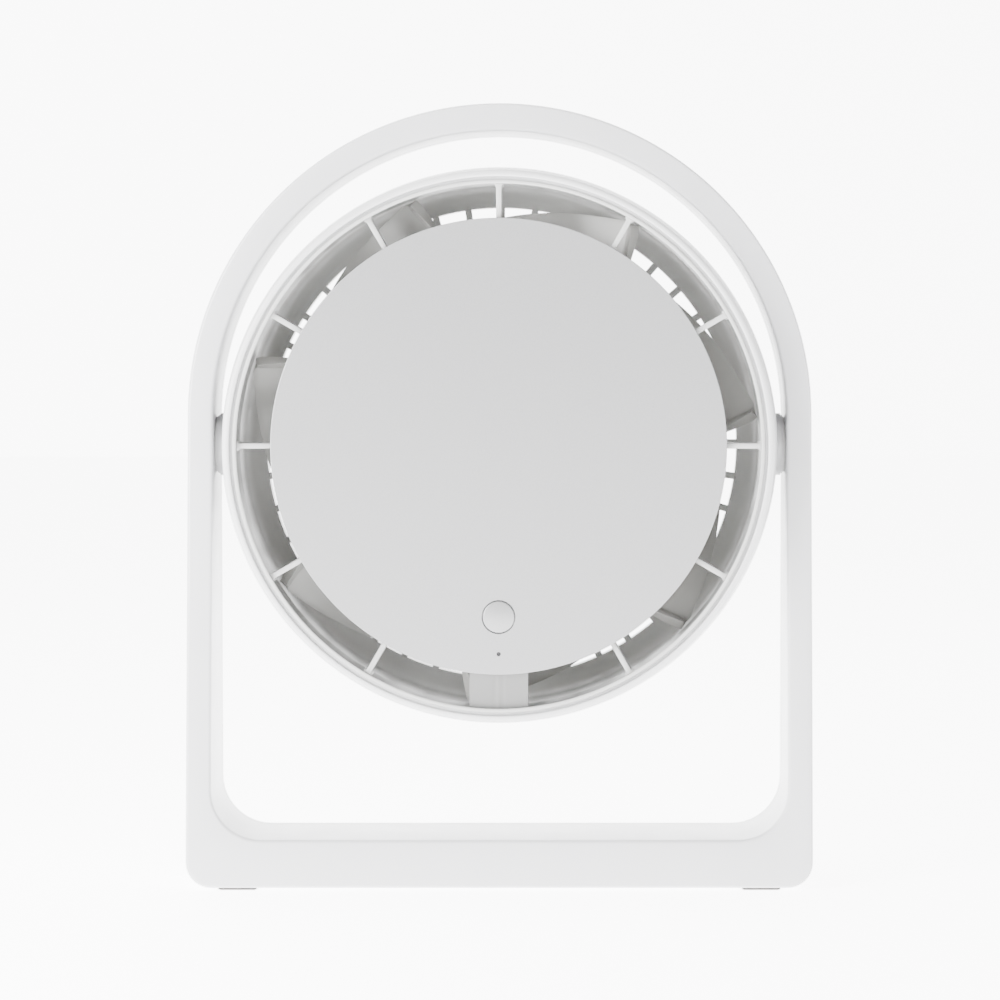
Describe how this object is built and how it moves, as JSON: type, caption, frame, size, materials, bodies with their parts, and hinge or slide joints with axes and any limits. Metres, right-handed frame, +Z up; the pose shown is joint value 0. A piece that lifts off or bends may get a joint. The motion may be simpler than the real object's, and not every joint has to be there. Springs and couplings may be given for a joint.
{
  "type": "desk fan",
  "caption": "Small desk fan: a round drum head with a plain front disc and ring of air gaps, tilting between the legs of an arched loop stand.",
  "frame": {"origin": "on the surface that the fan stands on, under the middle of the stand", "axes": "+Z up, -Y the way the air blows (front), +X to the right seen from the front"},
  "size_m": [0.222, 0.0707, 0.279],
  "materials": {
    "frame_white": "satin milk-white moulded plastic",
    "drum_white": "satin white moulded plastic",
    "grille_white": "satin white moulded plastic",
    "disc_pearl": "smooth pearl light-grey, satin gloss",
    "button_pearl": "smooth pearl light-grey, satin gloss",
    "blade_white": "satin warm white moulded plastic",
    "nylon": "natural nylon",
    "foot_rubber": "matt dark rubber",
    "ballast_steel": "rough rolled steel",
    "bright_steel": "zinc-plated steel",
    "spring_steel": "blued spring steel",
    "washer_fibre": "dark friction fibre",
    "cast_alloy": "die-cast",
    "lamination": "stacked laminations",
    "copper_wire": "enamelled copper",
    "can_steel": "drawn steel cup",
    "ferrite": "sintered magnet",
    "circuit_board": "green solder mask",
    "switch_plastic": "black moulded plastic",
    "clear_lens": "clear moulded plastic",
    "cell_wrap": "blue shrink wrap",
    "wire_cover": "red wire insulation"
  },
  "bodies": {
    "stand": {"stand_frame": "frame_white", "base_cover": "frame_white", "ballast_bar": "ballast_steel", "base_screws": "bright_steel", "foot_pad_left": "foot_rubber", "foot_pad_right": "foot_rubber", "pivot_pin_left": "bright_steel", "pivot_pin_right": "bright_steel", "pivot_cap_left": "frame_white", "pivot_cap_right": "frame_white", "retaining_clips": "spring_steel"},
    "head": {"drum_shell": "drum_white", "air_duct": "grille_white", "pivot_collar_left": "drum_white", "pivot_collar_right": "drum_white", "front_grille": "grille_white", "rear_grille": "grille_white", "front_disc": "disc_pearl", "pivot_bush_left": "nylon", "pivot_bush_right": "nylon", "battery_strap": "nylon", "motor_screws": "bright_steel", "bay_screws": "bright_steel", "rear_screws": "bright_steel", "motor_bearings": "bright_steel", "usb_socket": "bright_steel", "friction_washers": "washer_fibre", "motor_base": "cast_alloy", "stator_core": "lamination", "stator_coils": "copper_wire", "control_board": "circuit_board", "usb_board": "circuit_board", "tact_switch": "switch_plastic", "light_pipe": "clear_lens", "status_led": "clear_lens", "battery_pack": "cell_wrap", "wire_harness": "wire_cover"},
    "impeller": {"impeller": "blade_white", "rotor_can": "can_steel", "rotor_magnets": "ferrite", "motor_shaft": "bright_steel", "impeller_nut": "nylon"},
    "button": {"power_button": "button_pearl"}
  },
  "joints": [
    {"name": "head_tilt", "type": "hinge", "parent": "stand", "child": "head", "pos_m": [0, 0, 0.1574], "axis": [1, 0, 0], "range_deg": [-90, 90]},
    {"name": "impeller_spin", "type": "hinge", "parent": "head", "child": "impeller", "pos_m": [0, 0, 0.1574], "axis": [0, -1, 0], "continuous": true},
    {"name": "button_press", "type": "slide", "parent": "head", "child": "button", "axis": [0, 1, 0], "range_m": [0, 0.0006], "stiffness_N_per_m": 2500, "springref_m": -0.0004}
  ]
}
